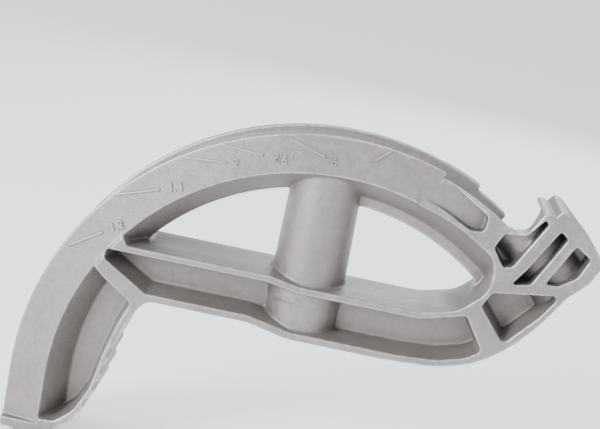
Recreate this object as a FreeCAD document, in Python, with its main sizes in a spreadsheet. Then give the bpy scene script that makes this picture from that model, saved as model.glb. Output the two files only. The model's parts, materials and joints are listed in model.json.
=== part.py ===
import FreeCAD
import Part
import math
import os

# Hand bender head for 1 inch thin-wall conduit: one aluminium casting with a
# grooved arc, a foot pedal at one end, a hook at the other and a threaded
# handle socket between the arc and a straight brace.
# Frame: Z runs up the handle socket from its mouth at Z = 0, X runs from the
# pedal to the hook, Y runs across the thickness with the arm side at -Y.

doc = FreeCAD.newDocument("conduit_bender")
V = FreeCAD.Vector
FLAT = FreeCAD.Rotation(V(1, 0, 0), 90)

# ----------------------------------------------------------------- driving sizes
DIMENSIONS = [
    ("arc_centre_x", 11.0),
    ("arc_centre_z", -50.0),
    ("rim_radius", 166.0),
    ("groove_radius", 15.0),
    ("face_inner_radius", 146.0),
    ("slope_foot_radius", 134.0),
    ("fin_inner_radius", 128.0),
    ("lowered_rim_radius", 163.0),
    ("half_width", 24.0),
    ("rim_half_width", 19.0),
    ("face_half_width", 22.5),
    ("half_web", 4.0),
    ("hook_pocket_depth", 15.0),
    ("passage_wall", 2.8),
    ("gusset_half_web", 5.0),
    ("pocket_draft_inset", 2.2),
    ("socket_base_radius", 21.0),
    ("socket_top_radius", 19.5),
    ("socket_top_height", 98.0),
    ("boss_radius", 20.4),
    ("boss_height", 30.0),
    ("bore_radius", 15.75),
    ("bore_depth", 52.0),
    ("hook_inner_radius", 181.0),
    ("tread_radius", 4.5),
]
DIM = dict(DIMENSIONS)

sheet = doc.addObject("Spreadsheet::Sheet", "Dims")
for row, (alias, number) in enumerate(DIMENSIONS, start=1):
    sheet.set("A%d" % row, alias)
    sheet.set("B%d" % row, str(number))
    sheet.setAlias("B%d" % row, alias)
doc.recompute()

CX = DIM["arc_centre_x"]
CZ = DIM["arc_centre_z"]
OVER = 2.0


# ----------------------------------------------------------------- outline tools
def rounded_outline(corners, closing_point=None):
    """Turn corners (x, z, radius) into lines and tangent arcs, always in pairs.

    With a closing point the last side is an arc through that point, and the two
    corners it joins stay sharp.
    """
    count = len(corners)
    entry = []
    for i in range(count):
        if closing_point is not None and i in (0, count - 1):
            sharp = V(corners[i][0], corners[i][1], 0)
            entry.append((sharp, sharp, sharp))
            continue
        x0, z0 = corners[i - 1][0], corners[i - 1][1]
        x1, z1, radius = corners[i]
        x2, z2 = corners[(i + 1) % count][0], corners[(i + 1) % count][1]
        here = V(x1, z1, 0)
        back = V(x0, z0, 0) - here
        ahead = V(x2, z2, 0) - here
        reach = 0.45 * min(back.Length, ahead.Length)
        back.normalize()
        ahead.normalize()
        half_angle = 0.5 * math.acos(max(-1.0, min(1.0, back.dot(ahead))))
        tangent = min(reach, max(radius, 0.3) / math.tan(half_angle))
        start = here + back * tangent
        end = here + ahead * tangent
        bisector = back + ahead
        bisector.normalize()
        fitted = tangent * math.tan(half_angle)
        to_centre = fitted / math.sin(half_angle)
        middle = here + bisector * (to_centre - fitted)
        entry.append((start, middle, end))
    geometry = []
    for i in range(count):
        start, middle, end = entry[i]
        following = entry[(i + 1) % count][0]
        if start != end:
            geometry.append(Part.Arc(start, middle, end))
        if closing_point is not None and i == count - 1:
            geometry.append(Part.Arc(end, closing_point, following))
        else:
            geometry.append(Part.LineSegment(end, following))
    return geometry


def inset(corners, distance):
    """Move every side of a closed outline inwards by one distance."""
    count = len(corners)
    area = 0.0
    for i in range(count):
        x1, z1 = corners[i][0], corners[i][1]
        x2, z2 = corners[(i + 1) % count][0], corners[(i + 1) % count][1]
        area += x1 * z2 - x2 * z1
    side = 1.0 if area > 0 else -1.0
    moved = []
    for i in range(count):
        x0, z0 = corners[i - 1][0], corners[i - 1][1]
        x1, z1, radius = corners[i]
        x2, z2 = corners[(i + 1) % count][0], corners[(i + 1) % count][1]
        first = V(x1 - x0, z1 - z0, 0)
        second = V(x2 - x1, z2 - z1, 0)
        first.normalize()
        second.normalize()
        normal_1 = V(-first.y, first.x, 0) * side
        normal_2 = V(-second.y, second.x, 0) * side
        joined = normal_1 + normal_2
        joined = joined * (distance / (1.0 + normal_1.dot(normal_2)))
        moved.append((x1 + joined.x, z1 + joined.y, max(radius - 0.5 * distance, 0.4)))
    return moved


def outline_sketch(name, corners, closing_point=None):
    """A closed sketch in the X-Z plane from rounded corners."""
    sketch = doc.addObject("Sketcher::SketchObject", name)
    sketch.addGeometry(rounded_outline(corners, closing_point), False)
    sketch.Placement = FreeCAD.Placement(V(0, 0, 0), FLAT)
    return sketch


def prism(name, corners, near_reach, far_reach, closing_point=None):
    """Extrude an outline along Y; the reaches are expressions over the sheet."""
    sketch = outline_sketch(name + "_outline", corners, closing_point)
    solid = doc.addObject("Part::Extrusion", name)
    solid.Base = sketch
    solid.DirMode = "Custom"
    solid.Dir = V(0, 1, 0)
    solid.Solid = True
    solid.setExpression("LengthFwd", far_reach)
    solid.setExpression("LengthRev", near_reach)
    return solid


def drafted_pocket(name, corners, floor, side):
    """A pocket with drafted walls from beyond the face down to its floor."""
    mouth = outline_sketch(name + "_mouth", inset(corners, -0.2))
    base = outline_sketch(name + "_floor", inset(corners, DIM["pocket_draft_inset"]))
    sign = "-" if side < 0 else ""
    mouth.setExpression(".Placement.Base.y", "%s(Dims.half_width + 2)" % sign)
    base.setExpression(".Placement.Base.y", "%s(%s)" % (sign, floor))
    pocket = doc.addObject("Part::Loft", name)
    pocket.Sections = [mouth, base]
    pocket.Solid = True
    pocket.Ruled = True
    return pocket


def ring(name, section, start_angle, sweep):
    """Revolve an (radius, y) outline about the arc axis from one angle to another."""
    sketch = doc.addObject("Sketcher::SketchObject", name + "_section")
    count = len(section)
    for i in range(count):
        first = section[i]
        second = section[(i + 1) % count]
        sketch.addGeometry(Part.LineSegment(V(first[0], first[1], 0), V(second[0], second[1], 0)), False)
    turned = FreeCAD.Rotation(V(0, 1, 0), start_angle - 90)
    sketch.Placement = FreeCAD.Placement(V(CX, 0, CZ), turned)
    solid = doc.addObject("Part::Revolution", name)
    solid.Source = sketch
    solid.Axis = V(0, 1, 0)
    solid.Base = V(CX, 0, CZ)
    solid.Angle = sweep
    solid.Solid = True
    return solid


def fuse(name, members):
    """Join several shapes into one."""
    joined = doc.addObject("Part::MultiFuse", name)
    joined.Shapes = members
    return joined


def cut(name, base, tool):
    """Take one shape away from another."""
    result = doc.addObject("Part::Cut", name)
    result.Base = base
    result.Tool = tool
    return result


def common(name, base, tool):
    """Keep what two shapes share."""
    result = doc.addObject("Part::Common", name)
    result.Base = base
    result.Tool = tool
    return result


def at_arc(radius, angle):
    """X and Z of a point at a radius and an angle from the crown of the arc."""
    turn = math.radians(angle)
    return CX + radius * math.sin(turn), CZ + radius * math.cos(turn)


# ----------------------------------------------------------------- outer outline
RIM_END_ANGLE = 33.4
rim_end = at_arc(DIM["rim_radius"], RIM_END_ANGLE)
rim_start = (CX - DIM["rim_radius"], CZ)
open_outline = [
    (rim_end[0], rim_end[1], 1.0),
    (103.6, 84.6, 5.0),
    (112.0, 86.6, 6.0),
    (118.0, 97.8, 1.0),
    (121.0, 98.6, 1.0),
    (123.4, 96.8, 1.0),
    (126.6, 101.2, 1.0),
    (130.6, 100.4, 1.5),
    (151.6, 81.4, 4.0),
    (154.4, 75.0, 3.0),
    (149.6, 65.0, 3.0),
    (140.0, 55.0, 20.0),
    (129.0, 37.0, 60.0),
    (116.0, 21.0, 60.0),
    (100.0, 8.5, 60.0),
    (80.0, 1.8, 80.0),
    (52.0, 0.0, 60.0),
    (-6.0, 0.0, 20.0),
    (-28.0, 4.8, 20.0),
    (-84.0, 4.8, 8.0),
    (-91.0, -4.0, 8.0),
    (-99.0, -28.0, 60.0),
    (-104.0, -52.0, 40.0),
    (-112.0, -71.0, 30.0),
    (-127.0, -84.0, 25.0),
    (-142.0, -87.5, 20.0),
    (-155.0, -86.5, 6.0),
    (rim_start[0], rim_start[1], 1.0),
]
rim_crown = at_arc(DIM["rim_radius"], -30.0)
blank = prism("blank", open_outline, "Dims.half_width", "Dims.half_width",
              V(rim_crown[0], rim_crown[1], 0))

# ----------------------------------------------------------------- recesses
# Regions on each side of the middle plane: the pedal pocket and the two window
# recesses run up to the arc, where the sloped wall of the arc bounds them.
pedal_region = [
    (-110.5, 13.5, 3.0),
    (-93.0, 2.0, 3.0),
    (-98.4, -12.0, 30.0),
    (-103.6, -31.0, 60.0),
    (-107.6, -52.0, 40.0),
    (-114.6, -67.0, 20.0),
    (-124.0, -75.6, 8.0),
    (-146.0, -77.0, 3.0),
    (-146.0, -30.0, 30.0),
    (-136.0, 0.0, 60.0),
    (-120.0, 22.0, 3.0),
]
left_window_region = [
    (-100.6, 33.4, 3.0),
    (-20.0, 33.4, 20.0),
    (-3.0, 30.4, 20.0),
    (14.0, 30.4, 1.0),
    (14.0, 104.0, 2.0),
    (-60.0, 96.0, 40.0),
    (-110.0, 50.0, 30.0),
]
right_window_region = [
    (2.0, 30.4, 2.0),
    (64.0, 30.4, 30.0),
    (84.0, 35.6, 20.0),
    (98.2, 49.0, 20.0),
    (98.4, 64.0, 14.0),
    (88.0, 79.0, 8.0),
    (50.0, 100.0, 40.0),
    (2.0, 104.0, 2.0),
]
left_window = [
    (-91.0, 34.6, 3.0),
    (12.0, 34.6, 1.0),
    (12.0, 92.0, 1.0),
    (-60.0, 92.0, 10.0),
    (-100.0, 60.0, 10.0),
]
right_window = [
    (4.0, 31.6, 1.0),
    (62.0, 31.6, 40.0),
    (78.0, 34.6, 20.0),
    (91.0, 43.6, 6.0),
    (90.4, 50.0, 4.0),
    (70.0, 92.0, 10.0),
    (4.0, 92.0, 1.0),
]
brace_pocket = [
    (-111.6, 30.0, 2.0),
    (-22.0, 30.0, 20.0),
    (-4.0, 26.8, 20.0),
    (64.0, 26.8, 30.0),
    (89.4, 34.0, 2.0),
    (101.4, 15.8, 3.0),
    (94.0, 10.4, 20.0),
    (78.0, 5.6, 40.0),
    (56.0, 4.0, 40.0),
    (-4.0, 4.0, 20.0),
    (-28.0, 8.8, 20.0),
    (-86.0, 8.8, 3.0),
    (-111.6, 24.0, 2.0),
]
gusset_pocket = [
    (95.8, 41.0, 2.0),
    (100.0, 49.6, 3.0),
    (136.4, 55.4, 2.0),
    (128.0, 41.6, 30.0),
    (111.6, 22.4, 3.0),
]
slot_inner = [
    (99.4, 83.0, 2.0),
    (111.4, 84.2, 6.0),
    (119.2, 95.0, 1.0),
    (121.2, 92.6, 1.0),
    (107.4, 66.0, 3.0),
    (102.4, 64.6, 2.0),
    (95.4, 74.4, 3.0),
]
slot_middle = [
    (128.6, 90.4, 1.0),
    (133.2, 86.8, 1.0),
    (119.0, 58.4, 1.5),
    (108.6, 56.0, 1.0),
    (115.4, 66.0, 8.0),
]
slot_outer = [
    (138.4, 84.0, 1.0),
    (147.4, 78.6, 1.5),
    (142.6, 67.0, 4.0),
    (133.4, 60.4, 2.0),
    (126.6, 60.2, 1.0),
]
arc_end_pocket = [
    (52.0, 108.0, 3.0),
    (64.0, 104.8, 30.0),
    (77.0, 97.4, 40.0),
    (89.0, 90.4, 3.0),
    (88.2, 81.6, 3.0),
    (81.0, 81.0, 8.0),
    (66.0, 88.4, 40.0),
    (48.0, 94.6, 8.0),
]

RECESS_FLOOR = "Dims.half_web"
recesses = []


def round_ring(name, radius, start_angle, sweep):
    """Revolve a circle on the rim radius about the arc axis."""
    sketch = doc.addObject("Sketcher::SketchObject", name + "_section")
    circle = Part.Circle(V(DIM["rim_radius"], 0, 0), V(0, 0, 1), radius)
    sketch.addGeometry(circle, False)
    turned = FreeCAD.Rotation(V(0, 1, 0), start_angle - 90)
    sketch.Placement = FreeCAD.Placement(V(CX, 0, CZ), turned)
    solid = doc.addObject("Part::Revolution", name)
    solid.Source = sketch
    solid.Axis = V(0, 1, 0)
    solid.Base = V(CX, 0, CZ)
    solid.Angle = sweep
    solid.Solid = True
    return solid


# Metal kept round the conduit passage wherever an outside pocket comes near it.
passage_wall = round_ring("passage_wall", DIM["groove_radius"] + DIM["passage_wall"], 28.0, 38.0)
slope_section = [
    (DIM["face_inner_radius"] + 1.3, DIM["half_width"] + OVER + 0.4),
    (DIM["slope_foot_radius"], DIM["half_web"]),
    (40.0, DIM["half_web"]),
    (40.0, DIM["half_width"] + OVER + 0.4),
]
for side, tag in ((-1, "near"), (1, "far")):
    section = [(radius, y * side) for radius, y in slope_section]
    bowl = ring("slope_bowl_" + tag, section, -90.0, 136.0)
    toe_sketch = doc.addObject("Sketcher::SketchObject", "toe_bowl_section_" + tag)
    points = [V(-radius, -y, 0) for radius, y in section]
    for i in range(4):
        toe_sketch.addGeometry(Part.LineSegment(points[i], points[(i + 1) % 4]), False)
    toe_sketch.Placement = FreeCAD.Placement(V(CX, 0, CZ), FreeCAD.Rotation(V(1, 0, 0), 180))
    toe_bowl = doc.addObject("Part::Extrusion", "toe_bowl_" + tag)
    toe_bowl.Base = toe_sketch
    toe_bowl.DirMode = "Custom"
    toe_bowl.Dir = V(0, 0, -1)
    toe_bowl.LengthFwd = 40.0
    toe_bowl.Solid = True
    whole_bowl = fuse("bowl_" + tag, [bowl, toe_bowl])
    for label, region in (("pedal", pedal_region), ("left", left_window_region),
                          ("right", right_window_region)):
        tool = drafted_pocket("%s_region_%s" % (label, tag), region, RECESS_FLOOR, side)
        recesses.append(common("%s_recess_%s" % (label, tag), tool, whole_bowl))
    for label, region, floor in (
            ("brace", brace_pocket, RECESS_FLOOR),
            ("gusset", gusset_pocket, "Dims.gusset_half_web")):
        pocket = drafted_pocket("%s_pocket_%s" % (label, tag), region, floor, side)
        if label == "gusset":
            pocket = cut("gusset_pocket_clear_" + tag, pocket, passage_wall)
        recesses.append(pocket)

HOOK_FLOOR = "Dims.half_width - Dims.hook_pocket_depth"
for label, region in (("slot_inner", slot_inner), ("slot_middle", slot_middle),
                      ("slot_outer", slot_outer)):
    mouth = prism(label, region, "Dims.half_width + 2", "-(%s)" % HOOK_FLOOR)
    recesses.append(cut(label + "_clear", mouth, passage_wall))

# The arc-end pocket sinks from nothing to its full depth towards the hook.
for side, tag in ((-1, "near"), (1, "far")):
    reach = "Dims.half_width + 2"
    block = prism("arc_end_block_" + tag, arc_end_pocket,
                  reach if side < 0 else "0", "0" if side < 0 else reach)
    wedge_sketch = doc.addObject("Sketcher::SketchObject", "arc_end_ramp_section_" + tag)
    ramp = [V(44.0, side * 26.0, 0), V(44.0, side * 22.4, 0),
            V(90.0, side * 17.0, 0), V(96.0, side * 17.0, 0), V(96.0, side * 26.0, 0)]
    for i in range(5):
        wedge_sketch.addGeometry(Part.LineSegment(ramp[i], ramp[(i + 1) % 5]), False)
    wedge = doc.addObject("Part::Extrusion", "arc_end_ramp_" + tag)
    wedge.Base = wedge_sketch
    wedge.DirMode = "Custom"
    wedge.Dir = V(0, 0, 1)
    wedge.LengthFwd = 130.0
    wedge.Solid = True
    recesses.append(common("arc_end_pocket_" + tag, block, wedge))

# Windows right through, stopped at the arc by its inner edge.
fin_left = doc.addObject("Part::Cylinder", "left_window_limit")
fin_left.setExpression("Radius", "Dims.slope_foot_radius - 0.4")
fin_right = doc.addObject("Part::Cylinder", "right_window_limit")
fin_right.setExpression("Radius", "Dims.fin_inner_radius")
for limit in (fin_left, fin_right):
    limit.Height = 80.0
    limit.Placement = FreeCAD.Placement(V(CX, 40, CZ), FLAT)
window_blocks = []
for label, region, limit in (("left", left_window, fin_left), ("right", right_window, fin_right)):
    block = prism(label + "_window_block", region, "Dims.half_width + 2", "Dims.half_width + 2")
    window_blocks.append(common(label + "_window_opening", block, limit))

# ----------------------------------------------------------------- arc faces and groove
face_cuts = []
for side, tag in ((-1, "near"), (1, "far")):
    face_section = [
        (DIM["face_inner_radius"] - 1.5, side * (DIM["half_width"] + OVER)),
        (DIM["face_inner_radius"] - 1.5, side * (DIM["face_half_width"] + 0.9)),
        (DIM["face_inner_radius"], side * DIM["face_half_width"]),
        (DIM["rim_radius"] + 3.0, side * (DIM["rim_half_width"] - 0.5)),
        (DIM["rim_radius"] + 3.0, side * (DIM["half_width"] + OVER)),
    ]
    face_cuts.append(ring("face_taper_" + tag, face_section, -90.0, 108.0))
    toe_face = doc.addObject("Sketcher::SketchObject", "toe_face_section_" + tag)
    points = [V(-radius, -y, 0) for radius, y in face_section]
    for i in range(5):
        toe_face.addGeometry(Part.LineSegment(points[i], points[(i + 1) % 5]), False)
    toe_face.Placement = FreeCAD.Placement(V(CX, 0, CZ), FreeCAD.Rotation(V(1, 0, 0), 180))
    toe_cut = doc.addObject("Part::Extrusion", "toe_face_taper_" + tag)
    toe_cut.Base = toe_face
    toe_cut.DirMode = "Custom"
    toe_cut.Dir = V(0, 0, -1)
    toe_cut.LengthFwd = 29.0
    toe_cut.Solid = True
    face_cuts.append(toe_cut)
    blend = doc.addObject("Sketcher::SketchObject", "arc_end_blend_section_" + tag)
    slope_line = [V(50.0, side * 21.2, 0), V(80.0, side * 24.2, 0), V(80.0, side * 27.0, 0),
                  V(50.0, side * 27.0, 0)]
    for i in range(4):
        blend.addGeometry(Part.LineSegment(slope_line[i], slope_line[(i + 1) % 4]), False)
    blend_cut = doc.addObject("Part::Extrusion", "arc_end_blend_" + tag)
    blend_cut.Base = blend
    blend_cut.DirMode = "Custom"
    blend_cut.Dir = V(0, 0, 1)
    blend_cut.LengthFwd = 45.0
    blend_cut.Solid = True
    blend_cut.Placement = FreeCAD.Placement(V(0, 0, 84.0), FreeCAD.Rotation())
    face_cuts.append(blend_cut)
    rim_drop = [
        (DIM["lowered_rim_radius"], 0.0),
        (DIM["rim_radius"] + 3.0, 0.0),
        (DIM["rim_radius"] + 3.0, side * (DIM["half_width"] + OVER)),
        (DIM["lowered_rim_radius"], side * (DIM["half_width"] + OVER)),
    ]
    start = 18.0 if side < 0 else 26.3
    face_cuts.append(ring("rim_drop_" + tag, rim_drop, start, 34.0 - start))

groove = round_ring("conduit_groove", DIM["groove_radius"], -90.0, 144.0)
toe_groove = doc.addObject("Part::Cylinder", "toe_groove")
toe_groove.setExpression("Radius", "Dims.groove_radius")
toe_groove.Height = 60.0
toe_groove.setExpression(".Placement.Base.x", "Dims.arc_centre_x - Dims.rim_radius")
toe_groove.setExpression(".Placement.Base.z", "Dims.arc_centre_z - 60")
entry_section = [
    (DIM["rim_radius"] - DIM["groove_radius"], 0.0),
    (DIM["hook_inner_radius"], 0.0),
    (DIM["hook_inner_radius"], DIM["half_width"] + OVER),
    (DIM["rim_radius"] - DIM["groove_radius"], DIM["half_width"] + OVER),
]
hook_entry = ring("hook_side_entry", entry_section, 34.0, 22.0)

# ----------------------------------------------------------------- handle socket
socket_wall = doc.addObject("Part::Cone", "socket_wall")
socket_wall.setExpression("Radius1", "Dims.socket_base_radius")
socket_wall.setExpression("Radius2", "Dims.socket_top_radius")
socket_wall.setExpression("Height", "Dims.socket_top_height - 20")
socket_wall.Placement = FreeCAD.Placement(V(0, 0, 20), FreeCAD.Rotation())
boss_wall = doc.addObject("Part::Cylinder", "boss_wall")
boss_wall.setExpression("Radius", "Dims.boss_radius")
boss_wall.setExpression("Height", "Dims.boss_height")
bore = doc.addObject("Part::Cylinder", "handle_bore")
bore.setExpression("Radius", "Dims.bore_radius")
bore.setExpression("Height", "Dims.bore_depth + 5")
bore.Placement = FreeCAD.Placement(V(0, 0, -5), FreeCAD.Rotation())

# ----------------------------------------------------------------- treads under the pedal
tread_path = [(-150.0, -88.6), (-139.0, -89.4), (-128.0, -87.0), (-118.0, -80.8),
              (-110.2, -72.4), (-105.4, -62.0), (-101.6, -51.0), (-99.0, -40.0),
              (-96.6, -29.0)]
treads = []
for index, (tread_x, tread_z) in enumerate(tread_path):
    tread = doc.addObject("Part::Cylinder", "tread_valley_%d" % (index + 1))
    tread.setExpression("Radius", "Dims.tread_radius")
    tread.Height = 80.0
    tread.Placement = FreeCAD.Placement(V(tread_x, 40, tread_z), FLAT)
    treads.append(tread)


# ----------------------------------------------------------------- cast sections
# The casting is divided by straight cuts into named sections. Neighbours share
# the corner points below, so they meet face to face with no overlap.
TOP = 190.0


def ray(radius, angle):
    """A plan corner at a radius and an angle from the crown."""
    x, z = at_arc(radius, angle)
    return (x, z)


TOE_IN = (-124.5, -50.0)
SHOE_IN = (-121.5, -22.0)
JOIN_LOW = ray(141.0, -62.0)
JOIN_MID = (-109.4, 24.6)
JOIN_TOP = (-109.4, 27.8)
JOIN_EDGE = (-95.0, 35.5)
WINDOW_LEFT = (-88.0, 38.0)
VOID_LEFT = ray(110.0, -38.0)
PEDAL_TOP = (-95.8, 1.6)
PEDAL_OUT = (-84.0, -8.0)
RIB_FOOT = (-84.0, 10.4)
TREAD_IN = [(-100.8, -13.0), (-106.0, -32.0), (-110.0, -52.5), (-116.2, -66.0), (-124.5, -73.4)]
VOID_RIGHT = (80.0, 52.0)
THROAT_TOP = (99.0, 97.0)
WEB_RIGHT = [(63.7, 24.6), (88.4, 31.2), (98.9, 16.4), (93.0, 12.2), (77.6, 7.7), (55.9, 6.2)]
RIB_OUT = (108.0, 4.0)
WINDOW_FOOT = (84.0, 45.0)
GUSSET = [(98.2, 41.4), (101.4, 47.6), (132.0, 52.4), (126.2, 42.8), (111.0, 25.6)]
GUSSET_OUT = (122.0, 12.0)
NOSE_FOOT = (152.0, 46.0)
SHELF_1 = (103.0, 57.0)
SHELF_2 = (107.4, 57.2)
SHELF_3 = (122.4, 58.0)
SHELF_END = (168.0, 60.0)

sections = [
    ("toe_shoe", [(-180.0, -50.0), TOE_IN, (-124.5, -110.0), (-180.0, -110.0)]),
    ("shoe_lower_left", [(-180.0, -50.0), TOE_IN, SHOE_IN, JOIN_LOW, ray(TOP, -62.0)]),
    ("shoe_left", [ray(TOP, -62.0), JOIN_LOW, JOIN_MID, JOIN_TOP, JOIN_EDGE, WINDOW_LEFT,
                   VOID_LEFT, ray(TOP, -38.0)]),
    ("shoe_upper_left", [ray(TOP, -38.0), VOID_LEFT, (-24.0, 50.0), (-24.0, 82.0),
                         ray(132.0 / math.cos(math.radians(14.0)), -14.0), ray(TOP, -14.0)]),
    ("shoe_crown", [ray(TOP, -14.0), ray(132.0 / math.cos(math.radians(14.0)), -14.0),
                    (24.0, 82.0), (24.0, 60.0), ray(108.0, 10.0), ray(TOP, 10.0)]),
    ("shoe_right", [ray(TOP, 10.0), ray(108.0, 10.0), ray(108.0, 22.0), ray(TOP, 22.0)]),
    ("shoe_hook_end", [ray(TOP, 22.0), ray(108.0, 22.0), VOID_RIGHT, THROAT_TOP, (103.0, 140.0)]),
    ("pedal_web", [TREAD_IN[4], TOE_IN, SHOE_IN, JOIN_LOW, PEDAL_TOP] + TREAD_IN[:4]),
    ("pedal_tread", [(-124.5, -110.0), TREAD_IN[4], TREAD_IN[3], TREAD_IN[2], TREAD_IN[1],
                     TREAD_IN[0], PEDAL_TOP, PEDAL_OUT, (-60.0, -60.0), (-80.0, -110.0)]),
    ("divider_rib", [JOIN_LOW, PEDAL_TOP, PEDAL_OUT, RIB_FOOT, JOIN_MID]),
    ("brace_web_left", [JOIN_TOP, (-24.0, 27.8), (-24.0, 10.4), RIB_FOOT, JOIN_MID]),
    ("brace_lower_flange_left", [PEDAL_OUT, (-24.0, -8.0), (-24.0, 10.4), RIB_FOOT]),
    ("brace_upper_flange_left", [JOIN_TOP, (-24.0, 27.8), (-24.0, 42.0), (-80.0, 42.0),
                                 WINDOW_LEFT, JOIN_EDGE]),
    ("socket_boss", [(-24.0, -8.0), (24.0, -8.0), (24.0, 36.0), (-24.0, 36.0)]),
    ("handle_socket", [(-24.0, 36.0), (24.0, 36.0), (24.0, 82.0), (-24.0, 82.0)]),
    ("brace_web_right", [(24.0, 24.6)] + WEB_RIGHT + [(24.0, 6.2)]),
    ("brace_lower_flange_right", [(24.0, -8.0), (98.0, -8.0), RIB_OUT, WEB_RIGHT[2], WEB_RIGHT[3],
                                  WEB_RIGHT[4], WEB_RIGHT[5], (24.0, 6.2)]),
    ("brace_upper_flange_right", [(24.0, 24.6), WEB_RIGHT[0], WEB_RIGHT[1], WINDOW_FOOT,
                                  (60.0, 45.0), (24.0, 45.0)]),
    ("heel_rib", [RIB_OUT, WEB_RIGHT[2], WEB_RIGHT[1], WINDOW_FOOT, GUSSET[0], GUSSET[4],
                  GUSSET_OUT]),
    ("gusset_web", GUSSET),
    ("gusset_rim", [GUSSET_OUT, GUSSET[4], GUSSET[3], GUSSET[2], NOSE_FOOT, (160.0, 20.0)]),
    ("hook_shelf", [WINDOW_FOOT, GUSSET[0], GUSSET[1], GUSSET[2], NOSE_FOOT, SHELF_END,
                    SHELF_3, SHELF_2, SHELF_1, VOID_RIGHT]),
    ("hook_jaw", [VOID_RIGHT, SHELF_1, SHELF_2, (123.4, 92.0), (124.6, 112.0), (103.0, 112.0),
                  THROAT_TOP]),
    ("hook_rib", [SHELF_2, SHELF_3, (135.8, 85.4), (146.0, 106.0), (124.6, 112.0),
                  (123.4, 92.0)]),
    ("hook_nose", [SHELF_3, SHELF_END, (170.0, 90.0), (146.0, 106.0), (135.8, 85.4)]),
]


def region_block(name, corners):
    """A straight-sided block over one section, wider than the casting."""
    wire = doc.addObject("Sketcher::SketchObject", name + "_plan")
    count = len(corners)
    for i in range(count):
        x1, z1 = corners[i]
        x2, z2 = corners[(i + 1) % count]
        wire.addGeometry(Part.LineSegment(V(x1, z1, 0), V(x2, z2, 0)), False)
    wire.Placement = FreeCAD.Placement(V(0, 0, 0), FLAT)
    block = doc.addObject("Part::Extrusion", name + "_block")
    block.Base = wire
    block.DirMode = "Custom"
    block.Dir = V(0, 1, 0)
    block.Solid = True
    block.setExpression("LengthFwd", "Dims.half_width + 3")
    block.setExpression("LengthRev", "Dims.half_width + 3")
    return block


outside_tools = recesses + window_blocks + face_cuts + treads
hollow_tools = [groove, toe_groove, hook_entry, bore]
doc.recompute()


def take_away(name, body, tools, start):
    """Cut away, one by one, the tools that reach into a section."""
    step = start
    for tool in tools:
        if tool.Shape.BoundBox.intersect(body.Shape.BoundBox):
            shared = body.Shape.common(tool.Shape)
            if shared.Volume > 0.001:
                step += 1
                body = cut("%s_step_%d" % (name, step), body, tool)
                doc.recompute()
    return body, step


SOCKET_SECTIONS = ("socket_boss", "handle_socket", "shoe_crown")
nodes = []
for name, corners in sections:
    block = region_block(name, corners)
    doc.recompute()
    body = common(name + "_blank", blank, block)
    doc.recompute()
    body, step = take_away(name, body, outside_tools, 0)
    if name in SOCKET_SECTIONS:
        members = [body]
        for wall in (socket_wall, boss_wall):
            if wall.Shape.common(block.Shape).Volume > 0.001:
                piece = common("%s_%s" % (name, wall.Name), wall, block)
                doc.recompute()
                members.append(piece)
        body = fuse(name + "_joined", members)
        doc.recompute()
    body, step = take_away(name, body, hollow_tools, step)
    body.Label = name
    nodes.append((name, body))

doc.recompute()
for entry in doc.Objects:
    if "Invalid" in entry.State or "Error" in entry.State:
        raise RuntimeError("object in error: " + entry.Name)
os.makedirs("parts", exist_ok=True)
for name, body in nodes:
    shape = body.Shape
    if shape.isNull() or not shape.isValid():
        raise RuntimeError("bad shape: " + name)
    shape.exportStep("parts/%s.step" % name)
    print(name, round(shape.Volume), len(shape.Solids), len(shape.Faces))
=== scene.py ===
"""The cast aluminium head of a hand conduit bender, dressed over its measured frame."""

import json
import logging
import math
from dataclasses import dataclass
from enum import Enum

import bmesh
import bpy
from mathutils import Matrix, Vector
from mathutils.bvhtree import BVHTree

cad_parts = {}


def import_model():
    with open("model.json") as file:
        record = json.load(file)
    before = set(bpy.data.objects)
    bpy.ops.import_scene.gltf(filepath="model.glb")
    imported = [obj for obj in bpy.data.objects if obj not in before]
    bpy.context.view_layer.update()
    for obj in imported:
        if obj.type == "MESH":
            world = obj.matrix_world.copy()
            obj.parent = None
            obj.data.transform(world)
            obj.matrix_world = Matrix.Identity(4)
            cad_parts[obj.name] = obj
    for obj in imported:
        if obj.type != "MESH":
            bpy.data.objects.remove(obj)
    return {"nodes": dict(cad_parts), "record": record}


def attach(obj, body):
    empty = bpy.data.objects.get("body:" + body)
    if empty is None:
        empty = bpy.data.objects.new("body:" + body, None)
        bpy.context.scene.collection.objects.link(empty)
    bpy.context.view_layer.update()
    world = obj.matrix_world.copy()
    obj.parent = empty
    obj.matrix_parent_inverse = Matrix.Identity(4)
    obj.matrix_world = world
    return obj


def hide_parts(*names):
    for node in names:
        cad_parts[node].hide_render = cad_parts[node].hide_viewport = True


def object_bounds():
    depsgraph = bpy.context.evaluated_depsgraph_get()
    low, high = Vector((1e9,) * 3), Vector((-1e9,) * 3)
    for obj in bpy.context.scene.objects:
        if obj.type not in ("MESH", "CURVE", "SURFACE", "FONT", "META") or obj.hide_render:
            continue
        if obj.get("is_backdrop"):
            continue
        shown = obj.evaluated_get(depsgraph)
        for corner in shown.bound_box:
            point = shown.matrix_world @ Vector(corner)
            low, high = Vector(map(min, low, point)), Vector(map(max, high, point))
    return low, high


LOG = logging.getLogger("conduit_bender")

Corner = tuple[float, float]
Colour = tuple[float, float, float]
Value = bpy.types.NodeSocket | Colour | float

# Vertex attribute of how far a face stands out, from 0 in a crease to 1 on an edge.
RELIEF = "relief"
FLAT_RELIEF = 0.5
LEAST_RELIEF = 0.01
# Relief of the raised marks, a little over flat, so their faces take a little painted highlight
# and read brighter.
MARK_RELIEF = 0.66

# Points closer than this are one point: in the frame's meshes, and in new shapes, in metres.
SAME_POINT = 1e-7
WELD = 1e-6

# How far in front of the casting's middle the search for its near face starts, in metres.
IN_FRONT = 0.08

# One millimetre, in metres.
MM = 0.001

# The middle of the arc in plan, in mm.
ARC_MIDDLE = (11.0, -50.0)


class Surface(Enum):
    """How a face of the casting was left."""

    SAND_CAST = "sand_cast"
    RUBBED = "rubbed"
    THREAD_CUT = "thread_cut"


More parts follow.
